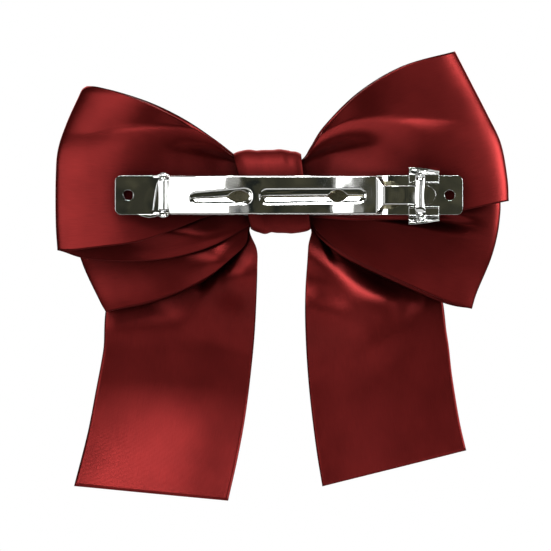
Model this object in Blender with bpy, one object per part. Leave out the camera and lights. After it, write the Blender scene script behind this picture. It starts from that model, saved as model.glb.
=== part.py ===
"""Satin ribbon hair bow on a French barrette.

The bow stands as it is worn: +Z is up, -Y is the clip side that lies on the hair, +Y is the show
side. The origin is in the middle of the gap that holds the hair. Lengths below are millimetres.
"""

import math

import bmesh
import bpy
from mathutils import Vector

MM = 0.001

# Ribbon
RIBBON_THICK = 0.6
KNOT_X = -3.4

# Stacked ribbons: each pair is a depth at the knot and a depth where the loops are full
LAYER_START = 8.0
LAYER_SPREAD = 30.0
LAYER_GAP = 1.15
UPPER_MIDDLE = (7.9, 8.6)
UPPER_HALF = (0.45, 5.0)
LOWER_HALF = (0.42, 3.8)
LOWER_SETTLE = 3.0

# Barrette plate
PLATE_LENGTH = 80.0
PLATE_WIDTH = 9.0
PLATE_THICK = 0.8
PLATE_TAB_Y = 1.6
PLATE_BOW = 2.8
PLATE_RAMP = (24.0, 10.0)
PLATE_CORNER = 1.3
TAB_HOLE_X = 37.0
TAB_HOLE_RADIUS = 1.2

# Hinge
PIN_X = -28.9
PIN_Y = 0.1
PIN_RADIUS = 0.5
PIN_LENGTH = 9.6
EAR_HOLE_RADIUS = 0.58
BARREL_RADIUS = 1.15
BARREL_BORE = 0.6
BARREL_LENGTH = 7.4
EAR_THICK = 0.5
EAR_OUTLINE = ((-31.4, 2.3), (-27.0, 2.3), (-27.2, 0.5), (-27.9, -0.9), (-29.9, -0.9), (-30.7, 0.5))

# Clasp arm
ARM_START = -28.6
ARM_SHOULDER = 20.0
ARM_TONGUE = 22.0
ARM_BAR = 29.0
ARM_END = 31.3
ARM_WIDTH = 8.9
TONGUE_WIDTH = 4.5
BAR_WIDTH = 8.4
ARM_THICK = 0.6
ARM_END_Y = -0.9
ARM_BOW = 2.6
ARM_BOW_CENTRE = 1.0
ARM_BOW_HALF = 30.0
SLIT_WIDTH = 0.9
EYE_WIDTH = 3.2
EYE_LENGTH = 5.6
ARM_SLOTS = ((-22.5, -8.7, -11.7), (-6.2, 17.2, 11.3))

# Spring leaf
LEAF_HALF = 25.5
LEAF_WIDTH = 6.4
LEAF_THICK = 0.35
LEAF_END_Y = 0.95
LEAF_RISE = 1.5
LEAF_RAMP = (24.5, 12.5)
LEAF_TIP = 2.0
LEAF_NARROWING = 0.35

# Latch
BRACKET_START = 27.4
BRACKET_ROUND = 31.2
BRACKET_END = 33.8
BRACKET_HALF = 2.3
BRACKET_TIP_HALF = 0.25
BRACKET_RAISED = 0.7
BRACKET_THICK = 0.45
LEVER_PIVOT_Y = 1.2
LEVER_PIVOT_Z = 3.6
LEVER_START = 27.6
LEVER_END = 34.5

# Knot band
BAND_HALF_WIDTH = 6.9
BAND_FLARE = 0.05
BAND_SLANT = 0.17
BAND_TOP = 10.5
BAND_BOTTOM = -8.7
BAND_BACK = 3.15
BAND_FRONT = 15.6
BAND_THICK = 0.65
SQUARENESS = 0.45


def clear_scene():
    """An empty scene to build in."""
    for item in list(bpy.data.objects):
        bpy.data.objects.remove(item, do_unlink=True)


def material(name, colour, roughness, metallic):
    """A plain Principled material."""
    made = bpy.data.materials.new(name)
    made.use_nodes = True
    shader = made.node_tree.nodes["Principled BSDF"]
    shader.inputs["Base Color"].default_value = (*colour, 1.0)
    shader.inputs["Roughness"].default_value = roughness
    shader.inputs["Metallic"].default_value = metallic
    return made


def add_object(name, mesh, finish, smooth_angle=40.0):
    """A named object in the scene's collection, smooth where its faces meet gently."""
    mesh.materials.clear()
    mesh.materials.append(finish)
    mesh.shade_smooth()
    mesh.set_sharp_from_angle(angle=math.radians(smooth_angle))
    made = bpy.data.objects.new(name, mesh)
    bpy.context.scene.collection.objects.link(made)
    return made


def mesh_from(name, points, faces):
    """A mesh from points in millimetres, with its faces turned outwards."""
    made = bpy.data.meshes.new(name)
    made.from_pydata([Vector(point) * MM for point in points], [], faces)
    work = bmesh.new()
    work.from_mesh(made)
    bmesh.ops.recalc_face_normals(work, faces=work.faces)
    work.to_mesh(made)
    work.free()
    return made


def loft(name, sections, closed=False):
    """A solid skinned over matching outlines, capped at both ends or closed into a ring."""
    count = len(sections[0])
    points = [point for section in sections for point in section]
    faces = []
    last = len(sections) if closed else len(sections) - 1
    for row in range(last):
        after = (row + 1) % len(sections)
        for column in range(count):
            beside = (column + 1) % count
            faces.append(
                (
                    row * count + column,
                    row * count + beside,
                    after * count + beside,
                    after * count + column,
                )
            )
    if not closed:
        faces.append(tuple(range(count)))
        faces.append(tuple((len(sections) - 1) * count + column for column in range(count)))
    return mesh_from(name, points, faces)


def cylinder(name, radius, length, centre, axis="Z", sides=16):
    """A straight round bar about a point."""
    turn = {"Z": (0, 1, 2), "Y": (0, 2, 1), "X": (2, 0, 1)}[axis]
    rings = []
    for end in (-length / 2, length / 2):
        ring = []
        for step in range(sides):
            angle = 2 * math.pi * step / sides
            local = (radius * math.cos(angle), radius * math.sin(angle), end)
            ring.append(tuple(centre[i] + local[turn[i]] for i in range(3)))
        rings.append(ring)
    return loft(name, rings)


def box_mesh(name, low, high):
    """A box between two corners."""
    rings = []
    for x in (low[0], high[0]):
        rings.append(
            [(x, low[1], low[2]), (x, high[1], low[2]), (x, high[1], high[2]), (x, low[1], high[2])]
        )
    return loft(name, rings)


def combine(target, mesh, operation):
    """Applies one Boolean with a helper mesh to an object."""
    helper = bpy.data.objects.new(target.name + "_helper", mesh)
    bpy.context.scene.collection.objects.link(helper)
    change = target.modifiers.new("combine", "BOOLEAN")
    change.operation = operation
    change.object = helper
    bpy.context.view_layer.update()
    graph = bpy.context.evaluated_depsgraph_get()
    result = bpy.data.meshes.new_from_object(target.evaluated_get(graph))
    target.modifiers.clear()
    old = target.data
    target.data = result
    bpy.data.meshes.remove(old)
    bpy.data.objects.remove(helper, do_unlink=True)
    bpy.data.meshes.remove(mesh)


def squared_circle(angle):
    """A point on a round-cornered square of half width 1."""
    c, s = math.cos(angle), math.sin(angle)
    return Vector((math.copysign(abs(c) ** SQUARENESS, c), math.copysign(abs(s) ** SQUARENESS, s)))


def spline(points, along):
    """A point on the smooth curve through the given points, along from 0 to 1."""
    spans = len(points) - 1
    place = min(max(along, 0.0), 1.0) * spans
    index = min(int(place), spans - 1)
    t = place - index
    p1, p2 = Vector(points[index]), Vector(points[index + 1])
    p0 = Vector(points[index - 1]) if index > 0 else 2 * p1 - p2
    p3 = Vector(points[index + 2]) if index + 2 <= spans else 2 * p2 - p1
    tangent_1 = (p2 - p0) / 2
    tangent_2 = (p3 - p1) / 2
    return (
        (2 * t**3 - 3 * t**2 + 1) * p1
        + (t**3 - 2 * t**2 + t) * tangent_1
        + (3 * t**2 - 2 * t**3) * p2
        + (t**3 - t**2) * tangent_2
    )


def ribbon(name, place, rows, columns, finish):
    """A ribbon of even thickness over place(along, across), both from 0 to 1."""
    points = []
    for row in range(rows + 1):
        for column in range(columns + 1):
            points.append(place(row / rows, column / columns))
    faces = []
    for row in range(rows):
        for column in range(columns):
            first = row * (columns + 1) + column
            faces.append((first, first + 1, first + columns + 2, first + columns + 1))
    made = add_object(name, mesh_from(name, points, faces), finish)
    thick = made.modifiers.new("thickness", "SOLIDIFY")
    thick.thickness = RIBBON_THICK * MM
    thick.offset = 0.0
    thick.use_even_offset = True
    return made


# Each loop leaves the knot as a gathered strip, widens to the ribbon's width at its outer fold and
# comes back. low and high are its lower and upper edges from the knot to the fold, as (x, z).
LOOPS = {
    "upper_loop_left": {
        "low": ((-3.9, -5.0), (-14, -5.8), (-26, -10.3), (-40, -13.3), (-53.2, -13.0)),
        "high": ((-3.9, 5.6), (-12.3, 8.7), (-24, 17.4), (-36, 22.7), (-47.0, 24.5)),
        "fold_out": 3.0,
        "tilt": 0.34,
        "layer": "upper",
    },
    "upper_loop_right": {
        "low": ((-2.9, -5.0), (6, -5.4), (20, -5.8), (36, -4.4), (50.4, -1.6)),
        "high": ((-2.9, 5.2), (2.9, 7.9), (8.4, 16.2), (17, 24.4), (27, 30.2), (38, 33.1)),
        "fold_out": 2.4,
        "tilt": 0.05,
        "layer": "upper",
    },
    "lower_loop_left": {
        "low": ((-3.9, -4.6), (-9.2, -6.6), (-13.1, -13.9), (-22, -20.4), (-32, -24.4), (-42.2, -26.7)),
        "high": ((-3.9, 4.6), (-14, 6.2), (-30, 8.8), (-49.2, 9.4)),
        "fold_out": 3.6,
        "tilt": 0.12,
        "layer": "lower",
    },
    "lower_loop_right": {
        "low": ((-2.9, -4.6), (4.9, -6.0), (10, -11.3), (20, -17.2), (31, -21.7), (42, -26.0)),
        "high": ((-2.9, 4.4), (10, 6.6), (28, 10.2), (45.4, 10.8)),
        "fold_out": 3.8,
        "tilt": 0.12,
        "layer": "lower",
    },
}

# Each tail leaves the knot and fans out behind the lower loop, then hangs. left and right are its
# edges from the knot to the cut end.
TAILS = {
    "tail_left": {
        "left": (
            (-3.9, 2.0),
            (-15, -3.4),
            (-28, -10.0),
            (-41, -21.5),
            (-43.6, -37),
            (-46.3, -52),
            (-49.8, -67.2),
        ),
        "right": (
            (-3.9, -4.8),
            (-9.3, -6.9),
            (-7.7, -14),
            (-7.8, -26),
            (-8.6, -39),
            (-10.6, -54),
            (-14.0, -70.6),
        ),
        "hang_y": 17.6,
    },
    "tail_right": {
        "left": ((-2.9, -4.8), (5.2, -6.9), (4.2, -15), (3.7, -27), (4.4, -41), (5.9, -55), (7.8, -67.4)),
        "right": (
            (-2.9, 2.0),
            (11, -3.4),
            (23, -9.8),
            (34.4, -21.0),
            (36.8, -32.5),
            (38.7, -46),
            (41.2, -59.2),
        ),
        "hang_y": 18.6,
    },
}


def smooth_step(value):
    """From 0 to 1 without a corner."""
    value = min(max(value, 0.0), 1.0)
    return value * value * (3 - 2 * value)


def layers(x, z):
    """Depths of the stacked ribbons at one place: each loop layer's middle and half depth, and the
    tails' level. They open out with the distance from the knot and never cross."""
    distance = math.hypot(x - KNOT_X, z)
    open_out = smooth_step((distance - LAYER_START) / LAYER_SPREAD)
    upper_half = UPPER_HALF[0] + (UPPER_HALF[1] - UPPER_HALF[0]) * open_out
    lower_half = LOWER_HALF[0] + (LOWER_HALF[1] - LOWER_HALF[0]) * open_out
    upper = UPPER_MIDDLE[0] + (UPPER_MIDDLE[1] - UPPER_MIDDLE[0]) * open_out
    settle = LOWER_SETTLE * smooth_step((-z - 16.5) / 9.0)
    lower = upper + upper_half + LAYER_GAP + lower_half - settle
    return {
        "upper": (upper, upper_half),
        "lower": (lower, lower_half),
        "tail": lower + lower_half + LAYER_GAP,
    }


def loop_place(loop):
    """The middle surface of one loop: along it from knot to fold to knot, and across its width."""
    low_corner = Vector(loop["low"][-1])
    high_corner = Vector(loop["high"][-1])
    fold = high_corner - low_corner
    outward = Vector((-fold.y, fold.x)).normalized()
    if outward.x * low_corner.x < 0:
        outward = -outward

    def place(along, across):
        reach = (1 - math.cos(2 * math.pi * along)) / 2
        flat = spline(loop["low"], reach).lerp(spline(loop["high"], reach), across)
        flat += outward * loop["fold_out"] * 4 * across * (1 - across) * reach**2
        middle, half = layers(flat.x, flat.y)[loop["layer"]]
        side = math.copysign(math.sqrt(max(0.0, 1 - reach**4)), along - 0.5)
        drop = loop["tilt"] * half * side * (1 - across) * reach
        return (flat.x, middle + half * side, flat.y - drop)

    return place


def tail_place(tail):
    """The middle surface of one tail: down from the knot, and across from left to right."""

    def place(along, across):
        flat = spline(tail["left"], along).lerp(spline(tail["right"], along), across)
        fall = smooth_step((-flat.y - 27.0) / 40.0)
        y = layers(flat.x, flat.y)["tail"]
        y += (tail["hang_y"] - y) * fall
        y += 0.7 * math.sin(math.pi * across * 2 + 1.0) * fall
        return (flat.x, y, flat.y)

    return place


def ramp(x, ends):
    """From 0 beyond the outer distance to 1 within the inner one, the same on both sides."""
    outer, inner = ends
    return smooth_step((outer - abs(x)) / (outer - inner))


def plate_y(x):
    """The plate's face on the hair side: flat ends, raised in the middle."""
    return PLATE_TAB_Y + PLATE_BOW * ramp(x, PLATE_RAMP)


def arm_y(x):
    """The arm's outer face."""
    inside = max(0.0, 1 - ((x - ARM_BOW_CENTRE) / ARM_BOW_HALF) ** 2)
    return ARM_END_Y - ARM_BOW * inside


def strip(name, stations, half_width, front_y, thickness):
    """A sheet-metal strip along X: front_y is its face nearest the hair."""
    sections = []
    for x in stations:
        half = half_width(x)
        y = front_y(x)
        sections.append([(x, y, -half), (x, y, half), (x, y + thickness, half), (x, y + thickness, -half)])
    return loft(name, sections)


def spread(low, high, count):
    """Evenly spaced values from low to high."""
    return [low + (high - low) * step / count for step in range(count + 1)]


def rounded_half(x):
    """Half of the plate's width, less at its rounded corners."""
    into = max(0.0, abs(x) - (PLATE_LENGTH / 2 - PLATE_CORNER))
    return PLATE_WIDTH / 2 - PLATE_CORNER + math.sqrt(max(0.0, PLATE_CORNER**2 - into**2))


def make_base_plate(finish):
    """The stamped plate: two sewing tabs, a raised middle and two ears for the hinge pin."""
    end = PLATE_LENGTH / 2
    corner = [end - PLATE_CORNER * (1 - math.sin(math.pi / 2 * step / 5)) for step in range(6)]
    half = corner[::-1] + spread(PLATE_RAMP[0], PLATE_RAMP[1], 11) + [0]
    stations = sorted({round(x, 4) for x in half} | {round(-x, 4) for x in half})
    mesh = strip("base_plate", stations, rounded_half, plate_y, PLATE_THICK)
    plate = add_object("base_plate", mesh, finish)
    ear_out = PLATE_WIDTH / 2
    for side in (-1, 1):
        low_z, high_z = sorted((side * (ear_out - EAR_THICK), side * ear_out))
        rings = [[(x, y, z) for x, y in EAR_OUTLINE] for z in (low_z, high_z)]
        combine(plate, loft("ear", rings), "UNION")
    hole = cylinder("pin_hole", EAR_HOLE_RADIUS, PLATE_WIDTH * 2, (PIN_X, PIN_Y, 0))
    combine(plate, hole, "DIFFERENCE")
    for side in (-1, 1):
        centre = (side * TAB_HOLE_X, PLATE_TAB_Y, 0)
        combine(plate, cylinder("tab_hole", TAB_HOLE_RADIUS, 6, centre, "Y", 20), "DIFFERENCE")
    return plate


def make_hinge_pin(finish):
    """The pin through both ears, with a small upset head at each end."""
    rings = []
    outline = ((-0.5, 0.35), (-0.5, 0.75), (-0.35, 0.85), (-0.18, 0.8), (-0.18, 0.5))
    half = PIN_LENGTH / 2
    profile = [(-half + 0.18 + a, r) for a, r in outline] + [(half - 0.18 - a, r) for a, r in outline[::-1]]
    for z, radius in profile:
        ring = []
        for step in range(16):
            angle = 2 * math.pi * step / 16
            ring.append((PIN_X + radius * math.cos(angle), PIN_Y + radius * math.sin(angle), z))
        rings.append(ring)
    return add_object("hinge_pin", loft("hinge_pin", rings), finish)


def arm_half(x):
    """Half of the arm's width along its length."""
    if x < ARM_START + 1.4:
        return BARREL_LENGTH / 2
    if x < ARM_SHOULDER:
        return ARM_WIDTH / 2
    if x < ARM_TONGUE:
        part = (x - ARM_SHOULDER) / (ARM_TONGUE - ARM_SHOULDER)
        return ARM_WIDTH / 2 + (TONGUE_WIDTH - ARM_WIDTH) / 2 * part
    if x < ARM_BAR:
        return TONGUE_WIDTH / 2
    return BAR_WIDTH / 2


def eye_outline(start, slit_end, eye_centre):
    """A narrow slit with an almond eye, as a closed outline in (x, z)."""
    low_x, high_x = min(start, slit_end), max(start, slit_end)
    top = []
    steps = 24
    for step in range(steps + 1):
        x = low_x + (high_x - low_x) * step / steps
        rounding = min(1.0, (min(x - low_x, high_x - x) + 0.02) / 0.5)
        half = SLIT_WIDTH / 2 * math.sqrt(rounding)
        off = (x - eye_centre) / (EYE_LENGTH / 2)
        if abs(off) < 1:
            half = max(half, EYE_WIDTH / 2 * (1 - off * off) ** 0.8)
        top.append((x, half))
    return top + [(x, -half) for x, half in reversed(top)]


def make_clasp_arm(finish, holder):
    """The bowed arm: rolled barrel, two slotted channels, tongue and latch bar."""
    edges = [ARM_START, ARM_START + 1.3, ARM_START + 1.5, ARM_SHOULDER, ARM_TONGUE]
    edges += [ARM_BAR - 0.05, ARM_BAR, ARM_END]
    stations = sorted({round(x, 3) for x in edges + spread(-24, 16, 10) + [25.0, 27.0]})
    arm = add_object("clasp_arm", strip("clasp_arm", stations, arm_half, arm_y, ARM_THICK), finish)
    bar_low = arm_y(30.0) - 0.35
    bar = box_mesh("bar", (ARM_BAR, bar_low, -BAR_WIDTH / 2), (ARM_END, bar_low + 0.8, BAR_WIDTH / 2))
    combine(arm, bar, "UNION")
    for side in (-1, 1):
        outer = side * BAR_WIDTH / 2
        leg_z = sorted((outer, outer - side * 0.6))
        leg = box_mesh("leg", (ARM_BAR, bar_low + 0.4, leg_z[0]), (ARM_END, 0.75, leg_z[1]))
        combine(arm, leg, "UNION")
        catch_z = sorted((outer - side * 0.3, outer - side * 0.9))
        catch = box_mesh("catch", (ARM_BAR + 0.2, 0.45, catch_z[0]), (ARM_END - 0.2, 0.75, catch_z[1]))
        combine(arm, catch, "UNION")
    pin = (PIN_X, PIN_Y, 0)
    combine(arm, cylinder("barrel", BARREL_RADIUS, BARREL_LENGTH, pin, sides=24), "UNION")
    combine(arm, cylinder("barrel_bore", BARREL_BORE, BARREL_LENGTH * 2, pin, sides=24), "DIFFERENCE")
    for start, end, eye in ARM_SLOTS:
        rings = [[(x, y, z) for x, z in eye_outline(start, end, eye)] for y in (-6.0, 1.5)]
        combine(arm, loft("eye", rings), "DIFFERENCE")
    settle_on(arm, holder)
    return arm


def settle_on(piece, holder):
    """Parents a piece to the empty on its joint's axis without moving its surface."""
    piece.data.transform(holder.matrix_world.inverted())
    piece.parent = holder


def pivot(name, x, y, z):
    """An empty on a joint's axis."""
    made = bpy.data.objects.new(name, None)
    made.empty_display_size = 2 * MM
    made.location = Vector((x, y, z)) * MM
    bpy.context.scene.collection.objects.link(made)
    bpy.context.view_layer.update()
    return made


def make_spring_leaf(finish):
    """The thin sprung strip that presses the hair against the arm, lying along the plate."""

    def leaf_y(x):
        return LEAF_END_Y + LEAF_RISE * ramp(x, LEAF_RAMP)

    def leaf_half(x):
        into = max(0.0, abs(x) - (LEAF_HALF - LEAF_TIP)) / LEAF_TIP
        return LEAF_WIDTH / 2 * (1 - LEAF_NARROWING * into**2)

    tip = LEAF_HALF - LEAF_TIP
    half = spread(LEAF_HALF, tip, 4)[:-1] + spread(tip, LEAF_RAMP[1], 9) + [0]
    stations = sorted({round(x, 4) for x in half} | {round(-x, 4) for x in half})
    mesh = strip("tension_spring", stations, leaf_half, leaf_y, LEAF_THICK)
    return add_object("tension_spring", mesh, finish)


def make_latch_bracket(finish):
    """The latch's seat on the plate, with the round end of its lanced tongue."""
    reach = BRACKET_END - BRACKET_ROUND
    quarter = math.pi / 2
    stations = spread(BRACKET_START, BRACKET_ROUND, 2)
    stations += [BRACKET_ROUND + reach * math.sin(quarter * step / 7) for step in range(1, 8)]

    def half(x):
        into = max(0.0, x - BRACKET_ROUND) / reach
        return max(BRACKET_TIP_HALF, BRACKET_HALF * math.sqrt(max(0.0, 1 - into**2)))

    def face(x):
        return plate_y(x) - BRACKET_RAISED

    mesh = strip("latch_bracket", stations, half, face, BRACKET_THICK)
    return add_object("latch_bracket", mesh, finish)


def make_lever(name, side, tip_z, tip_y, finish, holder):
    """One side of the sprung latch: hooked inner wall, floor, and the finger wing outside the plate."""
    sections = []
    for x, shrink in ((LEVER_START, 0.0), (29.0, 0.0), (32.0, 0.45), (LEVER_END, 1.0)):
        tip = tip_z - 0.75 * shrink
        hook = 0.0 if x > 31.9 or x < 28.0 else 0.3
        outline = [
            (0.05, 2.6),
            (0.05, 2.95 + hook),
            (0.3, 3.0 + hook * 0.4),
            (1.0, 3.0),
            (1.0, 4.7),
            (tip_y + 0.9 * shrink, tip),
            (tip_y + 0.9 * shrink, tip + 0.4),
            (1.38, 5.1),
            (1.38, 2.6),
        ]
        sections.append([(x, y, side * z) for y, z in outline])
    lever = add_object(name, loft(name, sections), finish, 30.0)
    settle_on(lever, holder)
    return lever


def make_knot_band(finish):
    """The folded band that wraps the gathered centre and the plate, closed into a ring."""
    middle = Vector(((BAND_FRONT + BAND_BACK) / 2, (BAND_TOP + BAND_BOTTOM) / 2))
    half = Vector(((BAND_FRONT - BAND_BACK) / 2, (BAND_TOP - BAND_BOTTOM) / 2))
    sections = []
    for step in range(36):
        around = squared_circle(2 * math.pi * step / 36)
        section = []
        for inset, stations in ((0.0, spread(-1, 1, 6)), (BAND_THICK, spread(1, -1, 6))):
            for across in stations:
                y = middle.x + (half.x - inset) * around.x
                z = middle.y + (half.y - inset) * around.y
                width = BAND_HALF_WIDTH + BAND_FLARE * z
                section.append((KNOT_X + 0.1 - BAND_SLANT * z + width * across, y, z))
        sections.append(section)
    return add_object("knot_band", loft("knot_band", sections, closed=True), finish)


def make_gathering_thread(finish):
    """The waxed thread tied round the gathered ribbons under the band."""
    sections = []
    low, high = Vector((6.0, -6.4)), Vector((12.6, 7.2))
    middle, half = (low + high) / 2, (high - low) / 2
    for step in range(32):
        angle = 2 * math.pi * step / 32
        along = squared_circle(angle)
        centre = middle + Vector((half.x * along.x, half.y * along.y))
        outward = Vector((math.cos(angle), math.sin(angle)))
        section = []
        for turn in range(8):
            phase = 2 * math.pi * turn / 8
            reach = centre + outward * 0.3 * math.cos(phase)
            section.append((KNOT_X + 0.55 * math.sin(phase), reach.x, reach.y))
        sections.append(section)
    return add_object("gathering_thread", loft("gathering_thread", sections, closed=True), finish)


def main():
    clear_scene()
    satin = material("satin", (0.25, 0.02, 0.025), 0.4, 0.0)
    satin_band = material("satin_band", (0.28, 0.02, 0.025), 0.4, 0.0)
    chrome = material("chrome", (0.82, 0.82, 0.84), 0.08, 1.0)
    spring_steel = material("spring_steel", (0.35, 0.34, 0.28), 0.3, 1.0)
    thread = material("thread", (0.2, 0.02, 0.02), 0.8, 0.0)

    for name, loop in LOOPS.items():
        ribbon(name, loop_place(loop), 26, 6, satin)
    for name, tail in TAILS.items():
        ribbon(name, tail_place(tail), 20, 6, satin)
    make_knot_band(satin_band)
    make_gathering_thread(thread)

    make_base_plate(chrome)
    make_hinge_pin(chrome)
    make_clasp_arm(chrome, pivot("arm_axis", PIN_X, PIN_Y, 0))
    make_spring_leaf(spring_steel)
    make_latch_bracket(chrome)
    lever_x = (LEVER_START + LEVER_END) / 2
    for name, side, tip_z, tip_y in (
        ("latch_lever_upper", 1, 5.9, -1.3),
        ("latch_lever_lower", -1, 6.3, -1.1),
    ):
        holder = pivot(name + "_axis", lever_x, LEVER_PIVOT_Y, side * LEVER_PIVOT_Z)
        make_lever(name, side, tip_z, tip_y, chrome, holder)


main()
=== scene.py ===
import math

import bmesh
import bpy
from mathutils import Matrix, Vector


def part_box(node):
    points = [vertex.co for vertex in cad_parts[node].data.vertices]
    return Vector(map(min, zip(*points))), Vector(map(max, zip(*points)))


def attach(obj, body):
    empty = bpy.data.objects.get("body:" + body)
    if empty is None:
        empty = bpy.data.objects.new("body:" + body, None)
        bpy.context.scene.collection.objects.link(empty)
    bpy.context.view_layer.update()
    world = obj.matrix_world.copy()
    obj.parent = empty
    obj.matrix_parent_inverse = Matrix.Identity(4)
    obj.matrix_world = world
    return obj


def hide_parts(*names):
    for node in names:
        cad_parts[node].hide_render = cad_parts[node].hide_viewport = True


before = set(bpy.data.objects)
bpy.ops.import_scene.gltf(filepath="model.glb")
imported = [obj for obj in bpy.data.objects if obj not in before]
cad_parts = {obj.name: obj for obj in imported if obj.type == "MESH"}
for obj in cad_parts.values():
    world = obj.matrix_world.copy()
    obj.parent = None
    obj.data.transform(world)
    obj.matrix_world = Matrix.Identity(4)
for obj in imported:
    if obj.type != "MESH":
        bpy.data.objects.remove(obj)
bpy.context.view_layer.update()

MM = 0.001

# Lengths are in millimetres where nothing else is said: x to the right as seen from the clip
# side, y towards the show side, z up.

# The ribbon as it was cut
RIBBON_WIDTH = 38.0
CLOTH_THICK = 0.34
KNOT_X = sum(corner.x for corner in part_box("knot_band")) / 2 / MM + 0.5

# Stacked ribbons: depth at the knot and where the loops are full, as the solids have them
LAYER_START = 8.0
LAYER_SPREAD = 30.0
LAYER_GAP = 1.15
UPPER_MIDDLE = (7.9, 8.6)
UPPER_HALF = (0.45, 5.0)
LOWER_HALF = (0.42, 3.8)
LOWER_SETTLE = 0.4
SETTLE_TOP = -16.5
SETTLE_RUN = 9.0

# Folds
ROLL_FADE = 3.0
LAP_FADE = 6.0
PLEAT_FADE = 0.2
DROOP_START = 3.0

# Tails: where the lean, the curl and the cross wave set in
LEAN_TOP = -22.0
LEAN_START = 8.0
CURL_START = 9.0
WAVE_TOP = -27.0
WAVE_RUN = 40.0
WAVE = 0.5

# Rows and columns of the ribbon meshes
LOOP_GRID = (160, 84)
TAIL_GRID = (110, 48)


# ---------------------------------------------------------------- curves and fields


def smooth_step(value):
    """From 0 to 1 without a corner."""
    value = min(max(value, 0.0), 1.0)
    return value * value * (3 - 2 * value)


def mix(low, high, part):
    return low + (high - low) * part


def set_in(distance, start):
    """Nothing before zero, then a slope that grows to 1 over about this start."""
    distance = max(0.0, distance)
    return distance**2 / (distance + start)


class Curve:
    """A smooth curve through a few points, read by its share of the length."""

    STEPS = 24

    def __init__(self, points):
        self.points = [Vector(point) for point in points]
        self.dense = [self.hermite(i / self.STEPS) for i in range(self.STEPS * (len(points) - 1) + 1)]
        self.lengths = [0.0]
        for before, after in zip(self.dense, self.dense[1:]):
            self.lengths.append(self.lengths[-1] + (after - before).length)

    def hermite(self, place):
        last = len(self.points) - 2
        index = min(int(place), last)
        t = place - index
        p1, p2 = self.points[index], self.points[index + 1]
        p0 = self.points[index - 1] if index > 0 else 2 * p1 - p2
        p3 = self.points[index + 2] if index < last else 2 * p2 - p1
        return (
            (2 * t**3 - 3 * t**2 + 1) * p1
            + (t**3 - 2 * t**2 + t) * (p2 - p0) / 2
            + (3 * t**2 - 2 * t**3) * p2
            + (t**3 - t**2) * (p3 - p1) / 2
        )

    def at(self, share):
        target = min(max(share, 0.0), 1.0) * self.lengths[-1]
        low, high = 0, len(self.lengths) - 1
        while high - low > 1:
            middle = (low + high) // 2
            if self.lengths[middle] <= target:
                low = middle
            else:
                high = middle
        span = max(self.lengths[high] - self.lengths[low], 1e-9)
        return self.dense[low].lerp(self.dense[high], (target - self.lengths[low]) / span)

    def height_at(self, x):
        """The curve's second coordinate above x, for a curve that runs one way along x."""
        ends = self.dense if self.dense[-1].x > self.dense[0].x else self.dense[::-1]
        if x <= ends[0].x:
            return ends[0].y
        for before, after in zip(ends, ends[1:]):
            if x <= after.x:
                return mix(before.y, after.y, (x - before.x) / max(after.x - before.x, 1e-9))
        return ends[-1].y


def layers(x, z):
    """Depths of the stacked ribbons at one place: each layer's middle and half depth."""
    distance = math.hypot(x - KNOT_X, z)
    open_out = smooth_step((distance - LAYER_START) / LAYER_SPREAD)
    upper_half = mix(*UPPER_HALF, open_out)
    lower_half = mix(*LOWER_HALF, open_out)
    upper = mix(*UPPER_MIDDLE, open_out)
    settle = LOWER_SETTLE * smooth_step((SETTLE_TOP - z) / SETTLE_RUN)
    lower = upper + upper_half + LAYER_GAP + lower_half - settle
    return {
        "upper": (upper, upper_half),
        "lower": (lower, lower_half),
        "tail": lower + lower_half + LAYER_GAP,
    }


def roll(path, heights, above, below):
    """A soft ridge along a path: its height at the path's two ends, and its widths on each side of
    the crest at both ends. Negative heights make a valley."""
    curve = Curve(path)
    start, end = curve.points[0].x, curve.points[-1].x

    def field(x, z):
        along = (x - start) / (end - start)
        part = min(max(along, 0.0), 1.0)
        off = z - curve.height_at(x)
        width = mix(*(above if off > 0 else below), part)
        beyond = max(0.0, -along, along - 1) * abs(end - start)
        fade = math.exp(-((beyond / ROLL_FADE) ** 2))
        return mix(*heights, part) * math.exp(-((off / width) ** 2)) * fade

    return field


def puff(centre, size, height):
    """A broad round swelling."""

    def field(x, z):
        u, v = (x - centre[0]) / size[0], (z - centre[1]) / size[1]
        return height * math.exp(-u * u - v * v)

    return field


def droop(below, slope):
    """A leaf that leans out below one height, or in for a negative slope."""

    def field(x, z):
        return slope * set_in(below - z, DROOP_START)

    return field


def fold_over(path, top, crest, valley, lip, above, below):
    """A pleat that laps down over the cloth: a ridge along the path, a valley close above it, and
    cloth that leans out again towards the top edge. Each pair is its size near the knot and far out."""
    ridge, edge = Curve(path), Curve(top)
    start, end = ridge.points[0].x, ridge.points[-1].x

    def field(x, z):
        along = (x - start) / (end - start)
        part = min(max(along, 0.0), 1.0)
        off = z - ridge.height_at(x)
        beyond = max(0.0, -along * 3, along - 1) * abs(end - start)
        strength = math.exp(-((beyond / LAP_FADE) ** 2))
        if off <= 0:
            return strength * mix(*crest, part) * math.exp(-((off / mix(*below, part)) ** 2))
        width, deep = mix(*above, part), mix(*valley, part)
        if off < width:
            share = (off / width) ** 2
            return strength * (mix(*crest, part) * (1 - share) - deep * share)
        room = max(edge.height_at(x) - ridge.height_at(x) - width, 0.5)
        share = min((off - width) / room, 1.0)
        return strength * (mix(*lip, part) * share - deep * (1 - share))

    return field


def pleats(count, depth, phase, start, end, above=0.0, below=1.0):
    """Folds that fan out from the knot: how many across the width, their depth, and the shares of
    the loop's length over which they begin and fade. They stay between two shares of the width."""

    def field(reach, across):
        strength = smooth_step((reach - start[0]) / (start[1] - start[0]))
        strength *= 1 - smooth_step((reach - end[0]) / (end[1] - end[0]))
        if above > 0:
            strength *= smooth_step((across - above) / PLEAT_FADE)
        if below < 1:
            strength *= smooth_step((below - across) / PLEAT_FADE)
        angle = 2 * math.pi * (count * across + phase)
        return depth * strength * (1.0 - math.sin(angle) - 0.25 * math.sin(2 * angle + 0.6))

    return field


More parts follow.
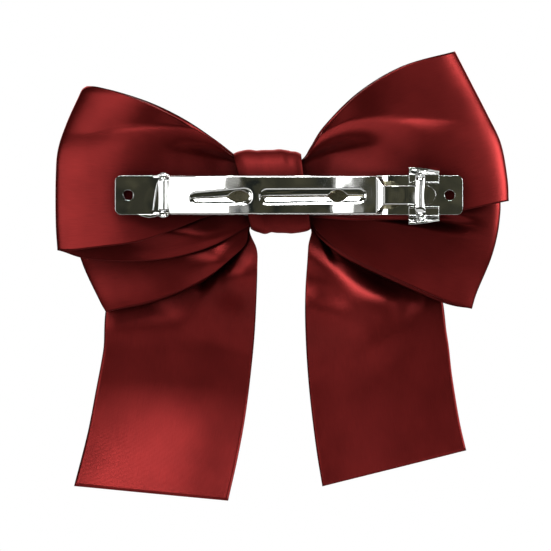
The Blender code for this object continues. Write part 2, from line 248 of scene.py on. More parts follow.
def total(fields, x, z):
    return sum(field(x, z) for field in fields)


# ---------------------------------------------------------------- ribbon shapes
# Edges run from the knot outwards, as (x, z). near is the leaf next to the clip, far the one
# behind it. A tail's curl is its slope, the height where it starts and how that height leans.

LOOPS = {
    "upper_loop_left": {
        "near_low": (
            (-4, -3.2), (-11, -3.4), (-18.8, -4.9), (-26.1, -7.7), (-35.3, -10.6), (-46.3, -11.8),
            (-53.3, -12.7),
        ),
        "near_high": (
            (-4, 5.0), (-10.6, 7.4), (-13.5, 9.4), (-20.6, 14.7), (-31.6, 20.7), (-39.7, 23.7),
            (-44.0, 24.9), (-46.6, 25.1),
        ),
        "far_low": (
            (-4, -4.9), (-9.0, -7.0), (-16.9, -11.3), (-24.3, -13.9), (-31.6, -15.2),
            (-40.8, -15.6), (-48.1, -15.0), (-53.3, -12.7),
        ),
        "far_high": (
            (-4, 5.6), (-10.4, 8.0), (-16.9, 12.8), (-24, 17.5), (-31.6, 21.3), (-39.7, 24.1),
            (-44.0, 25.0), (-46.6, 25.1),
        ),
        "fold": (
            (-53.3, -12.7), (-53.7, -6), (-53.7, 4.0), (-53.2, 10.5), (-51.2, 16.6), (-48.5, 22.6),
            (-47.6, 24.4), (-46.6, 25.1),
        ),
        "layer": "upper",
        "near": [
            fold_over(
                (
                    (-10.4, 5.8), (-13.3, 8.7), (-16.9, 11.2), (-20.6, 12.6), (-24.3, 13.2),
                    (-31.6, 12.9), (-38.9, 12.1), (-46, 10.2),
                ),
                ((-10.6, 7.4), (-13.5, 9.8), (-20.6, 15.0), (-31.6, 20.9), (-39.7, 23.8), (-46.8, 25.0)),
                (0.3, 0.3), (0.1, 0.1), (1.3, 1.0), (2.2, 4.0), (3.0, 8.0),
            ),
            roll(((-10.8, 5.4), (-14, 7.2), (-18, 8.5), (-25, 9.8)), (-2.8, -0.6), (1.4, 2.2), (6.0, 7.0)),
        ],
        "far": [puff((-19.0, -12.5), (7.0, 5.0), -1.6)],
        "near_pleats": [],
        "far_pleats": [pleats(2.7, 1.7, 0.2, (0.1, 0.35), (0.45, 0.95))],
    },
    "upper_loop_right": {
        "near_low": ((-2.8, -3.4), (5, -4.2), (16, -5.4), (30, -5.6), (40.0, -3.6), (50.6, -1.3)),
        "near_high": (
            (-2.8, 5.0), (3.0, 7.9), (5.2, 10.6), (8.6, 15.7), (16.2, 23.5), (26.4, 29.8),
            (38.2, 33.2),
        ),
        "far_low": ((-2.8, -4.4), (5, -5.0), (16, -5.8), (30, -5.2), (40.0, -3.4), (50.6, -1.3)),
        "far_high": (
            (-2.8, 5.6), (2.9, 8.2), (5.0, 11.2), (8.2, 16.1), (16.2, 23.9), (26.4, 30.0),
            (38.2, 33.2),
        ),
        "fold": ((50.6, -1.3), (50.3, 4.0), (48.8, 12.0), (45.6, 18.8), (41.8, 26.2), (38.2, 33.2)),
        "layer": "upper",
        "near": [
            fold_over(
                ((3.2, 7.4), (4.9, 9.6), (8.0, 12.2), (12.1, 13.9), (15.3, 14.5), (24, 14.6), (35, 13.4)),
                ((3.0, 7.9), (5.2, 10.8), (8.6, 16.0), (16.2, 23.7), (26.4, 29.9), (38.2, 33.2)),
                (0.3, 0.25), (0.1, 0.1), (1.3, 0.9), (2.2, 4.0), (3.0, 8.0),
            ),
            roll(((3.4, 6.0), (7, 8.4), (11, 10.0), (17, 11.0)), (-2.6, -0.6), (1.4, 2.2), (6.0, 7.0)),
            puff((37.0, 14.0), (14.0, 11.0), 1.4),
        ],
        "far": [],
        "near_pleats": [],
        "far_pleats": [pleats(2.7, 1.7, 0.2, (0.1, 0.35), (0.45, 0.95))],
    },
    "lower_loop_left": {
        "near_low": (
            (-4, -4.4), (-9.0, -7.2), (-9.9, -11.0), (-13.1, -14.3), (-19.8, -19.5),
            (-30.9, -24.2), (-42.3, -26.9),
        ),
        "near_high": ((-4, 4.4), (-14, 6.0), (-30, 8.6), (-49.0, 9.2)),
        "far_low": (
            (-4, -4.6), (-9.3, -7.2), (-10.6, -11.4), (-13.6, -14.6), (-20, -19.9), (-31, -24.6),
            (-42.3, -26.9),
        ),
        "far_high": ((-4, 4.4), (-14, 6.2), (-30, 8.8), (-49.0, 9.2)),
        "fold": (
            (-42.3, -26.9), (-43.9, -24.0), (-48.0, -15.0), (-50.3, -5.0), (-50.4, 3.0),
            (-49.0, 9.2),
        ),
        "layer": "lower",
        "near": [
            droop(-6.0, -0.13),
            puff((-17.0, -16.0), (6.0, 5.5), 3.3),
        ],
        "near_pleats": [pleats(3.6, 3.6, 0.1, (0.06, 0.24), (0.66, 0.97), 0.42)],
        "far": [],
        "far_pleats": [pleats(3.6, 2.8, 0.3, (0.06, 0.26), (0.58, 0.98))],
    },
    "lower_loop_right": {
        "near_low": (
            (-2.8, -4.4), (4.9, -6.4), (7.1, -8.9), (13.3, -13.7), (24.4, -19.1), (36.7, -24.4),
            (42.3, -26.2),
        ),
        "near_high": ((-2.8, 4.2), (10, 6.4), (28, 10.0), (45.2, 10.6)),
        "far_low": (
            (-2.8, -4.6), (4.9, -6.9), (7.0, -9.7), (13.2, -14.6), (24.3, -20.0), (36.4, -25.2),
            (42.3, -26.2),
        ),
        "far_high": ((-2.8, 4.4), (10, 6.6), (28, 10.2), (45.2, 10.6)),
        "fold": ((42.3, -26.2), (43.5, -22.3), (47.0, -13.8), (48.7, -6.0), (48.6, 1.0), (45.2, 10.6)),
        "layer": "lower",
        "near": [droop(-6.0, -0.05)],
        "near_pleats": [pleats(3.6, 3.8, 0.1, (0.06, 0.24), (0.68, 0.98), 0.42)],
        "far": [],
        "far_pleats": [pleats(3.6, 3.0, 0.3, (0.06, 0.26), (0.6, 0.98))],
    },
}

TAILS = {
    "tail_left": {
        "left": (
            (-4, 2.0), (-15, -3.4), (-28, -10.0), (-41, -21.5), (-43.2, -36.1), (-44.9, -45.2),
            (-46.8, -55.1), (-49.9, -67.4),
        ),
        "right": (
            (-4, -4.8), (-9.0, -7.4), (-7.4, -12.5), (-7.3, -17.0), (-7.8, -30), (-8.7, -40.1),
            (-10.1, -51.2), (-11.9, -61.0), (-14.1, -70.8),
        ),
        "lean": 0.1,
        "curl": (0.31, -45.0, 0.07),
        "folds": [
            roll(((-16, -17.5), (-11.5, -18.5), (-7, -19.0)), (0.4, 2.0), (4.4, 6.0), (4.0, 6.0)),
            puff((-12.5, -20.5), (6.0, 6.5), 3.6),
            roll(((-40, -30.5), (-30, -30.0), (-22, -29.0)), (0.6, 0.9), (4.0, 4.4), (3.4, 4.0)),
        ],
        "pleats": [pleats(3.3, 1.7, 0.15, (0.02, 0.14), (0.2, 0.44), 0.0, 0.72)],
    },
    "tail_right": {
        "left": (
            (-2.8, -4.8), (4.7, -7.2), (4.5, -12), (3.8, -22.2), (3.9, -32.4), (4.7, -44.8),
            (6.3, -58.3), (7.8, -67.6),
        ),
        "right": (
            (-2.8, 2.0), (11, -3.4), (23, -9.8), (34.0, -19.5), (36.8, -32.4), (38.0, -41.9),
            (39.7, -52.2), (41.3, -59.2),
        ),
        "lean": 0.08,
        "folds": [
            roll(
                ((4.0, -14.0), (9.5, -17.5), (16, -21.5), (23, -25.5)),
                (1.3, 1.0), (3.2, 3.4), (3.4, 5.0),
            ),
            puff((9.0, -28.5), (10.5, 8.5), 6.4),
            puff((3.2, -25.5), (5.0, 6.5), 1.2),
            roll(((14, -40), (24, -33), (32, -26)), (0.5, 0.7), (3.4, 4.2), (5.4, 6.0)),
        ],
        "pleats": [pleats(3.3, 3.0, 0.5, (0.02, 0.12), (0.14, 0.33), 0.3)],
    },
}


def loop_place(loop):
    """The middle surface of one loop: along it from knot to fold to knot, and across its width."""
    curves = {key: Curve(loop[key]) for key in ("near_low", "near_high", "far_low", "far_high", "fold")}

    def place(along, across):
        reach = (1 - math.cos(2 * math.pi * along)) / 2
        lean = math.copysign(math.sqrt(max(0.0, 1 - reach**4)), along - 0.5)
        far = (1 + lean) / 2
        low = curves["near_low"].at(reach).lerp(curves["far_low"].at(reach), far)
        high = curves["near_high"].at(reach).lerp(curves["far_high"].at(reach), far)
        flat = low.lerp(high, across)
        fold = curves["fold"]
        flat += (fold.at(across) - fold.at(0).lerp(fold.at(1), across)) * reach**2.5
        middle, half = layers(flat.x, flat.y)[loop["layer"]]
        leaf = "near" if lean < 0 else "far"
        bulge = total(loop[leaf], flat.x, flat.y) * abs(lean)
        # What goes inwards stops short of the other leaf
        if bulge < 0:
            inner = max(1.5 * half * abs(lean) - CLOTH_THICK, 0.05)
            bulge = -inner * math.tanh(-bulge / inner)
        room = max(half * abs(lean) - CLOTH_THICK, 0.02)
        bulge -= room * math.tanh(total(loop[leaf + "_pleats"], reach, across) / room)
        y = middle + half * lean
        y += -bulge if lean < 0 else bulge
        return Vector((flat.x, y, flat.y))

    return place


def tail_place(tail):
    """The middle surface of one tail: down from the knot, and across from left to right."""
    left, right = Curve(tail["left"]), Curve(tail["right"])

    def place(along, across):
        flat = left.at(along).lerp(right.at(along), across)
        y = layers(flat.x, flat.y)["tail"]
        y += tail["lean"] * set_in(LEAN_TOP - flat.y, LEAN_START)
        if "curl" in tail:
            curl, top, slant = tail["curl"]
            y -= curl * set_in(top - slant * flat.x - flat.y, CURL_START)
        fall = smooth_step((WAVE_TOP - flat.y) / WAVE_RUN)
        y += WAVE * math.sin(math.pi * across * 2 + 1.0) * fall
        y += total(tail["pleats"], along, across)
        y -= total(tail["folds"], flat.x, flat.y)
        return Vector((flat.x, y, flat.y))

    return place


# ---------------------------------------------------------------- meshes


def link(name, mesh, finish):
    mesh.materials.append(finish)
    made = bpy.data.objects.new(name, mesh)
    bpy.context.scene.collection.objects.link(made)
    return made


def thicken(piece, thick, offset):
    solid = piece.modifiers.new("thickness", "SOLIDIFY")
    solid.thickness = thick * MM
    solid.offset = offset


def lengths_along(points):
    """The distance from the first point to each point of a line."""
    run = [0.0]
    for before, after in zip(points, points[1:]):
        run.append(run[-1] + (after - before).length)
    return run


def ribbon(name, place, grid_size, finish):
    """A ribbon over place(along, across), with its run and its width in millimetres as UVs.
    Gives the piece and its flat length, the average of its runs from side to side."""
    rows, columns = grid_size
    points = [
        [place(row / rows, column / columns) for column in range(columns + 1)]
        for row in range(rows + 1)
    ]
    run = lengths_along([line[columns // 2] for line in points])
    work = bmesh.new()
    layer = work.loops.layers.uv.new("ribbon")
    grid = [[work.verts.new(point * MM) for point in line] for line in points]
    for row in range(rows):
        for column in range(columns):
            corners = ((row, column), (row, column + 1), (row + 1, column + 1), (row + 1, column))
            face = work.faces.new([grid[i][j] for i, j in corners])
            face.smooth = True
            for corner, (i, j) in zip(face.loops, corners):
                corner[layer].uv = (run[i], RIBBON_WIDTH * j / columns)
    mesh = bpy.data.meshes.new(name)
    work.to_mesh(mesh)
    work.free()
    runs = [lengths_along([line[column] for line in points])[-1] for column in range(columns + 1)]
    made = link(name, mesh, finish)
    thicken(made, CLOTH_THICK, 0.0)
    return made, sum(runs) / len(runs)


# ---------------------------------------------------------------- materials

RED_DARK = (0.12, 0.009, 0.0088)
RED_LIGHT = (0.18, 0.0142, 0.0136)
SATIN_GLOSS = (0.27, 0.33)
KNOT_GLOSS = (0.42, 0.5)
WOVEN_EDGE = (0.5, 0.3)
EDGE_TONE = 0.7

# Painted shade in folds: how open the surface is, from the light that reaches it within a distance in
# metres, and how dark the closed places are painted as a share of the dark red
FOLD_REACH = 0.019
FOLD_CLOSED = 0.36
FOLD_OPEN = 1.0
PAINTED_FOLD_SHADE = 0.2

CHROME = (0.9, 0.91, 0.9)
SPRING = (0.32, 0.3, 0.2)
RUBBED_TONE = 0.82


def node(tree, kind, **values):
    """A new node with its properties set, and its input sockets by name."""
    made = tree.nodes.new(kind)
    for key, value in values.items():
        if key.startswith("in_"):
            made.inputs[key[3:].replace("_", " ")].default_value = value
        else:
            setattr(made, key, value)
    return made


def new_material(name):
    made = bpy.data.materials.new(name)
    made.use_nodes = True
    return made, made.node_tree, made.node_tree.nodes["Principled BSDF"]


def satin(name, dark, light, roughness):
    """Satin ribbon: long warp floats, a finer weft, woven edges, a slight unevenness of dye, and painted
    shade that darkens its deep folds.
    """
    made, tree, shader = new_material(name)
    join = tree.links.new
    uv = node(tree, "ShaderNodeUVMap", uv_map="ribbon")
    split = node(tree, "ShaderNodeSeparateXYZ")
    join(uv.outputs["UV"], split.inputs[0])

    cloud = node(tree, "ShaderNodeTexNoise", in_Scale=0.09, in_Detail=3.0)
    join(uv.outputs["UV"], cloud.inputs["Vector"])
    streak_at = node(tree, "ShaderNodeMapping")
    streak_at.inputs["Scale"].default_value = (0.25, 9.0, 1.0)
    join(uv.outputs["UV"], streak_at.inputs["Vector"])
    streak = node(tree, "ShaderNodeTexNoise", in_Scale=1.0, in_Detail=4.0)
    join(streak_at.outputs[0], streak.inputs["Vector"])

    both = node(tree, "ShaderNodeMath", operation="ADD")
    join(cloud.outputs["Fac"], both.inputs[0])
    join(streak.outputs["Fac"], both.inputs[1])
    ramp = node(tree, "ShaderNodeMapRange")
    ramp.inputs["From Min"].default_value = 0.7
    ramp.inputs["From Max"].default_value = 1.3
    join(both.outputs[0], ramp.inputs["Value"])
    colour = node(tree, "ShaderNodeMix", data_type="RGBA")
    colour.inputs["A"].default_value = (*dark, 1)
    colour.inputs["B"].default_value = (*light, 1)
    join(ramp.outputs[0], colour.inputs["Factor"])

    # The woven edge: half a millimetre of tighter, darker cloth along both sides
    from_middle = node(tree, "ShaderNodeMath", operation="SUBTRACT")
    from_middle.inputs[1].default_value = RIBBON_WIDTH / 2
    join(split.outputs["Y"], from_middle.inputs[0])
    absolute = node(tree, "ShaderNodeMath", operation="ABSOLUTE")
    join(from_middle.outputs[0], absolute.inputs[0])
    edge = node(tree, "ShaderNodeMapRange", interpolation_type="SMOOTHSTEP")
    edge.inputs["From Min"].default_value = RIBBON_WIDTH / 2 - WOVEN_EDGE[0]
    edge.inputs["From Max"].default_value = RIBBON_WIDTH / 2 - WOVEN_EDGE[1]
    join(absolute.outputs[0], edge.inputs["Value"])
    edged = node(tree, "ShaderNodeMix", data_type="RGBA")
    edged.inputs["B"].default_value = (*[part * EDGE_TONE for part in dark], 1)
    join(edge.outputs[0], edged.inputs["Factor"])
    join(colour.outputs["Result"], edged.inputs["A"])

    # Painted shade: the colour is darkened where ambient occlusion finds other cloth or the clip close by,
    # so deep folds and tucked strips look shaded
    open_sky = node(tree, "ShaderNodeAmbientOcclusion", samples=12, in_Distance=FOLD_REACH)
    depth = node(tree, "ShaderNodeMapRange")
    depth.inputs["From Min"].default_value = FOLD_CLOSED
    depth.inputs["From Max"].default_value = FOLD_OPEN
    join(open_sky.outputs["AO"], depth.inputs["Value"])
    # The mix below paints the shade: closed places take the darkened red instead of the dyed colour
    folded = node(tree, "ShaderNodeMix", data_type="RGBA")
    folded.inputs["A"].default_value = (*[part * PAINTED_FOLD_SHADE for part in dark], 1)
    join(depth.outputs[0], folded.inputs["Factor"])
    join(edged.outputs["Result"], folded.inputs["B"])
    join(folded.outputs["Result"], shader.inputs["Base Color"])

    # Weave: fine ribs across the run and the warp floats along it
    weave = node(tree, "ShaderNodeTexWave", bands_direction="X", in_Scale=1.1, in_Distortion=0.6)
    join(uv.outputs["UV"], weave.inputs["Vector"])
    warp = node(tree, "ShaderNodeTexWave", bands_direction="Y", in_Scale=1.6, in_Distortion=1.2)
    join(uv.outputs["UV"], warp.inputs["Vector"])
    threads = node(tree, "ShaderNodeMath", operation="MULTIPLY_ADD")
    threads.inputs[1].default_value = 0.5
    join(warp.outputs["Fac"], threads.inputs[0])
    join(weave.outputs["Fac"], threads.inputs[2])
    raised = node(tree, "ShaderNodeMath", operation="ADD")
    join(threads.outputs[0], raised.inputs[0])
    join(streak.outputs["Fac"], raised.inputs[1])
    bump = node(tree, "ShaderNodeBump", in_Strength=0.12, in_Distance=0.00005)
    join(raised.outputs[0], bump.inputs["Height"])
    join(bump.outputs[0], shader.inputs["Normal"])

    rough = node(tree, "ShaderNodeMapRange")
    rough.inputs["To Min"].default_value = roughness[0]
    rough.inputs["To Max"].default_value = roughness[1]
    join(streak.outputs["Fac"], rough.inputs["Value"])
    join(rough.outputs[0], shader.inputs["Roughness"])
    tangent = node(tree, "ShaderNodeTangent", direction_type="UV_MAP", uv_map="ribbon")
    join(tangent.outputs[0], shader.inputs["Tangent"])
    shader.inputs["Anisotropic"].default_value = 0.4
    shader.inputs["Metallic"].default_value = 0.8
    shader.inputs["Specular IOR Level"].default_value = 0.4
    shader.inputs["Specular Tint"].default_value = (1.0, 0.4, 0.38, 1)
    shader.inputs["Sheen Weight"].default_value = 0.04
    shader.inputs["Sheen Roughness"].default_value = 0.3
    shader.inputs["Sheen Tint"].default_value = (1.0, 0.3, 0.28, 1)
    return made


def metal(name, colour, roughness, scratch, edge):
    """Metal sheet: rounded edges, faint polishing lines, slightly uneven, its gloss rubbed in places."""
    made, tree, shader = new_material(name)
    join = tree.links.new
    where = node(tree, "ShaderNodeTexCoord")
    stretched = node(tree, "ShaderNodeMapping")
    stretched.inputs["Scale"].default_value = (300, 1500, 4000)
    join(where.outputs["Object"], stretched.inputs["Vector"])
    lines = node(tree, "ShaderNodeTexNoise", in_Scale=1.0, in_Detail=3.0)
    join(stretched.outputs[0], lines.inputs["Vector"])
    dimple = node(tree, "ShaderNodeTexNoise", in_Scale=130.0, in_Detail=1.0)
    join(where.outputs["Object"], dimple.inputs["Vector"])
    uneven = node(tree, "ShaderNodeBump", in_Strength=0.35, in_Distance=0.0004)
    join(dimple.outputs["Fac"], uneven.inputs["Height"])
    smudge = node(tree, "ShaderNodeTexNoise", in_Scale=180.0, in_Detail=4.0)
    join(where.outputs["Object"], smudge.inputs["Vector"])
    rough = node(tree, "ShaderNodeMapRange")
    rough.inputs["From Min"].default_value = 0.35
    rough.inputs["From Max"].default_value = 0.7
    rough.inputs["To Min"].default_value = roughness[0]
    rough.inputs["To Max"].default_value = roughness[1]
    join(smudge.outputs["Fac"], rough.inputs["Value"])
    join(rough.outputs[0], shader.inputs["Roughness"])
    bump = node(tree, "ShaderNodeBump", in_Strength=scratch, in_Distance=0.00002)
    rounded = node(tree, "ShaderNodeBevel", samples=6, in_Radius=edge * MM)
    join(rounded.outputs[0], uneven.inputs["Normal"])
    join(uneven.outputs[0], bump.inputs["Normal"])
    join(lines.outputs["Fac"], bump.inputs["Height"])
    join(bump.outputs[0], shader.inputs["Normal"])
    tone = node(tree, "ShaderNodeMix", data_type="RGBA")
    tone.inputs["A"].default_value = (*colour, 1)
    tone.inputs["B"].default_value = (*[part * RUBBED_TONE for part in colour], 1)
    join(smudge.outputs["Fac"], tone.inputs["Factor"])
    join(tone.outputs["Result"], shader.inputs["Base Color"])
    shader.inputs["Metallic"].default_value = 1.0
    return made


# ---------------------------------------------------------------- camera, light, floor

VIEW_WIDTH = 126.7
VIEW_CENTRE = Vector((-3.1, 0.0, -18.5))
LENS = 600.0
SENSOR = 36.0

# The studio, in metres
LIGHT_DISTANCE = 0.9
FLOOR_RADIUS = 0.17
FLOOR_PLACE = (0, 0.01, -0.105)
FLOOR_TONE = 0.66

# Soft boxes: azimuths and elevations in degrees, and what a mirror shows of them. Azimuth 0 is
# the clip side and 90 the right.
LIGHTS = {
    "left": ((-80, -11), (-10, 12), 2.7),
    "right": ((58, 86), (-6, 26), 11.0),
    "left_edge": ((-11, -8.8), (-6, 6), 0.3),
    "strip": ((7.8, 10.4), (-4, 4), 2.2),
    "strip_edge": ((6.4, 11.8), (-4, 4), 0.25),
    "fill": ((22, 52), (-12, 14), 0.6),
    "key": ((-16, 12), (25, 39), 16.0),
    "top": ((-26, 26), (62, 86), 1.2),
    "show": ((150, 212), (0, 48), 3.0),
}


def make_camera():
    data = bpy.data.cameras.new("camera")
    data.lens = LENS
    data.sensor_width = SENSOR
    camera = bpy.data.objects.new("camera", data)
    distance = VIEW_WIDTH / 2 / (SENSOR / 2 / LENS)
    camera.location = (VIEW_CENTRE + Vector((0, -distance, 0))) * MM
    camera.rotation_euler = (math.radians(90), 0, 0)
    data.clip_start = 0.1
    data.clip_end = 20
    bpy.context.scene.collection.objects.link(camera)
    bpy.context.scene.camera = camera


def area_light(name, azimuths, elevations, brightness):
    """A soft box that faces the bow and spans these angles."""
    a = math.radians(sum(azimuths) / 2)
    e = math.radians(sum(elevations) / 2)
    width = 2 * LIGHT_DISTANCE * math.tan(math.radians(azimuths[1] - azimuths[0]) / 2)
    height = 2 * LIGHT_DISTANCE * math.tan(math.radians(elevations[1] - elevations[0]) / 2)
    data = bpy.data.lights.new(name, "AREA")
    data.shape = "RECTANGLE"
    data.size = width
    data.size_y = height
    data.energy = brightness * width * height * math.pi
    lamp = bpy.data.objects.new(name, data)
    away = Vector((math.sin(a) * math.cos(e), -math.cos(a) * math.cos(e), math.sin(e)))
    lamp.location = away * LIGHT_DISTANCE
    lamp.rotation_mode = "QUATERNION"
    lamp.rotation_quaternion = (-away).to_track_quat("-Z", "Y")
    bpy.context.scene.collection.objects.link(lamp)


def make_world():
    """White behind the bow for the camera, and an unevenly dark room for everything it mirrors."""
    world = bpy.data.worlds.new("studio")
    world.use_nodes = True
    tree = world.node_tree
    background = tree.nodes["Background"]
    path = node(tree, "ShaderNodeLightPath")
    where = node(tree, "ShaderNodeTexCoord")
    patches = node(tree, "ShaderNodeTexNoise", in_Scale=15.0, in_Detail=3.0)
    tree.links.new(where.outputs["Generated"], patches.inputs["Vector"])
    room = node(tree, "ShaderNodeValToRGB")
    room.color_ramp.elements[0].position = 0.4
    room.color_ramp.elements[0].color = (0.012, 0.015, 0.013, 1)
    room.color_ramp.elements[1].position = 0.62
    room.color_ramp.elements[1].color = (0.068, 0.064, 0.04, 1)
    tree.links.new(patches.outputs["Fac"], room.inputs["Fac"])
    shade = node(tree, "ShaderNodeMix", data_type="RGBA")
    tree.links.new(room.outputs["Color"], shade.inputs["A"])
    shade.inputs["B"].default_value = (1, 1, 1, 1)
    tree.links.new(path.outputs["Is Camera Ray"], shade.inputs["Factor"])
    tree.links.new(shade.outputs["Result"], background.inputs["Color"])
    bpy.context.scene.world = world


def make_floor():
    """A pale round table top below the hanging bow, clear when seen from below."""
    work = bmesh.new()
    bmesh.ops.create_circle(work, cap_ends=True, segments=96, radius=FLOOR_RADIUS)
    mesh = bpy.data.meshes.new("floor")
    work.to_mesh(mesh)
    work.free()
    made, tree, shader = new_material("pale_floor")
    shader.inputs["Base Color"].default_value = (FLOOR_TONE, FLOOR_TONE, FLOOR_TONE, 1)
    shader.inputs["Roughness"].default_value = 0.7
    side = node(tree, "ShaderNodeNewGeometry")
    clear = node(tree, "ShaderNodeBsdfTransparent")
    choose = node(tree, "ShaderNodeMixShader")
    tree.links.new(side.outputs["Backfacing"], choose.inputs["Fac"])
    tree.links.new(shader.outputs[0], choose.inputs[1])
    tree.links.new(clear.outputs[0], choose.inputs[2])
    tree.links.new(choose.outputs[0], tree.nodes["Material Output"].inputs["Surface"])
    floor = link("floor", mesh, made)
    floor.location = FLOOR_PLACE


def studio():
    make_camera()
    make_world()
    make_floor()
    for name, (azimuths, elevations, brightness) in LIGHTS.items():
        area_light(name, azimuths, elevations, brightness)
    bpy.context.scene.view_settings.view_transform = "Standard"


# ---------------------------------------------------------------- the clasp arm

ARM_CENTRE = 1.0
ARM_HALF = 30.0
ARM_EDGE_Y = -0.9
ARM_BOW = 2.6
ARM_WIDE = 4.45
ARM_WIDE_TO = (-27.2, 19.8)
TONGUE_HALF = 2.2
TONGUE_FROM = 21.9
ARM_END = 29.4
ARM_THICK = 0.35
EDGE_ROUND = 0.32
BARREL_END = -28.05
BARREL_X = -28.9
BARREL_Y = 0.1
NECK_HALF = 3.6
STEP_X = 19.9
STEP_DEPTH = 0.75
GROOVE_WALL = 0.14
GROOVE_DEPTH = 0.135
ARM_GRID = (34, 460)

# Pressed grooves: the ends, the middle heights and half widths there, the half width of the slit,
# the slit's ends, and the eye's middle, half length and half height
GROOVES = (
    {"axis": (-21.4, -10.4), "middle": (-0.75, -0.3), "half": (1.45, 1.95), "slit": 0.16,
     "open": (-22.3, -8.9), "eye": (-11.5, 3.1, 1.45)},
    {"axis": (-5.0, 15.9), "middle": (-0.4, -0.2), "half": (1.85, 1.75), "slit": 0.2,
     "open": (-6.3, 17.2), "eye": (11.2, 2.6, 1.5)},
)


def arm_y(x):
    return ARM_EDGE_Y - ARM_BOW * (1 - ((x - ARM_CENTRE) / ARM_HALF) ** 2)


def groove_inside(groove, x, z):
    """How far inside the outline of a pressed groove a point lies."""
    start, end = groove["axis"]
    part = min(max((x - start) / (end - start), 0.0), 1.0)
    middle = mix(*groove["middle"], part)
    beyond = max(start - x, x - end, 0.0)
    return mix(*groove["half"], part) - math.hypot(beyond, z - middle)


def groove_gap(groove, x):
    """The slit between a groove's rolled lips at x: its middle height and half width."""
    start, end = groove["axis"]
    part = min(max((x - start) / (end - start), 0.0), 1.0)
    middle = mix(*groove["middle"], part)
    low, high = groove["open"]
    if not low < x < high:
        return middle, 0.0
    taper = min(1.0, (x - low) / 0.5, (high - x) / 0.5)
    eye_x, eye_long, eye_half = groove["eye"]
    off = min(abs(x - eye_x) / eye_long, 1.0)
    eye = eye_half * (1 - off**2) ** 1.2
    return middle, max(groove["slit"] * math.sqrt(max(taper, 0.0)), eye * min(1.0, taper))


def arm_depth(x, z):
    """How far the arm's sheet is pressed in at one place."""
    depth = 0.0
    for groove in GROOVES:
        inside = groove_inside(groove, x, z)
        if inside > 0:
            depth += GROOVE_DEPTH * min(inside / GROOVE_WALL, 1.0) + 0.12 * inside + inside**2 / 15
    depth += STEP_DEPTH * smooth_step((x - STEP_X) / 2.2)
    depth -= 0.15 * smooth_step((x - STEP_X - 2.5) / 5.0)
    return depth


def arm_width(x):
    if x < ARM_WIDE_TO[0]:
        return mix(NECK_HALF, ARM_WIDE, smooth_step((x + 28.2) / (ARM_WIDE_TO[0] + 28.2)))
    narrow = smooth_step((x - ARM_WIDE_TO[1]) / (TONGUE_FROM - ARM_WIDE_TO[1]))
    return mix(ARM_WIDE, TONGUE_HALF, narrow)


def grid_mesh(name, patches, finish):
    """A smooth sheet of patches, each made of lines of points, joined where they touch."""
    work = bmesh.new()
    for lines in patches:
        rows = [[work.verts.new(point * MM) for point in line] for line in lines]
        for before, after in zip(rows, rows[1:]):
            for j in range(len(before) - 1):
                work.faces.new((before[j], before[j + 1], after[j + 1], after[j])).smooth = True
    bmesh.ops.remove_doubles(work, verts=work.verts, dist=1e-7)
    mesh = bpy.data.meshes.new(name)
    work.to_mesh(mesh)
    work.free()
    return link(name, mesh, finish)


def make_arm(finish):
    """The pressed arm: bowed sheet, rolled edges, two grooves with lips that part into an eye,
    the step down to the tongue, the cross bar and the rolled barrel."""
    rows, steps = ARM_GRID
    columns = [mix(BARREL_END, ARM_END, i / steps) for i in range(steps + 1)]
    lines = []
    for side in (1, -1):
        for j in range(rows + 1):
            line = []
            for x in columns:
                middle, gap = 0.0, 0.0
                for groove in GROOVES:
                    if groove["open"][0] - 2 < x < groove["open"][1] + 2:
                        middle, gap = groove_gap(groove, x)
                edge = arm_width(x)
                share = 1 - (1 - j / rows) ** 1.25
                z = mix(side * edge, middle + side * gap, share)
                y = arm_y(x) + arm_depth(x, z)
                from_round = EDGE_ROUND - (edge - abs(z))
                if from_round > 0:
                    y += EDGE_ROUND - math.sqrt(max(0.0, EDGE_ROUND**2 - from_round**2))
                if x < ARM_WIDE_TO[0]:
                    y += 0.55 * smooth_step((ARM_WIDE_TO[0] - x) / 0.85)
                line.append(Vector((x, y, z)))
            lines.append(line if side > 0 else line[::-1])
    patches = (lines[: rows + 1], lines[rows + 1 :])
    sheet = grid_mesh("arm_sheet", patches, finish)
    thicken(sheet, ARM_THICK, 1.0)
    return [sheet, make_barrel(finish), make_cross_bar(finish)]


def tube(name, path, radii, finish, segments, flat):
    """A bar along a path, flattened front to back by a share."""
    work = bmesh.new()
    rings = []
    for index, centre in enumerate(path):
        ahead = path[min(index + 1, len(path) - 1)] - path[max(index - 1, 0)]
        forward = ahead.normalized()
        side = forward.cross(Vector((0, 1, 0)))
        if side.length < 0.1:
            side = forward.cross(Vector((1, 0, 0)))
        side.normalize()
        up = side.cross(forward)
        ring = []
        for k in range(segments):
            angle = 2 * math.pi * k / segments
            spot = centre + (side * math.cos(angle) + up * math.sin(angle) * flat) * radii[index]
            ring.append(work.verts.new(spot * MM))
        rings.append(ring)
    for before, after in zip(rings, rings[1:]):
        for k in range(segments):
            n = (k + 1) % segments
            work.faces.new((before[k], before[n], after[n], after[k])).smooth = True
    work.faces.new(rings[0][::-1])
    work.faces.new(rings[-1])
    bmesh.ops.recalc_face_normals(work, faces=work.faces)
    mesh = bpy.data.meshes.new(name)
    work.to_mesh(mesh)
    work.free()
    return link(name, mesh, finish)


def make_barrel(finish):
    """The arm's end rolled round the hinge pin, a little waisted in the middle."""
    steps = 24
    path = [Vector((BARREL_X, BARREL_Y, mix(-3.7, 3.7, i / steps))) for i in range(steps + 1)]
    radii = [1.17 - 0.1 * math.cos(math.pi * (i / steps - 0.5)) for i in range(steps + 1)]
    radii[0] = radii[-1] = 0.95
    return tube("arm_barrel", path, radii, finish, 40, 1.0)


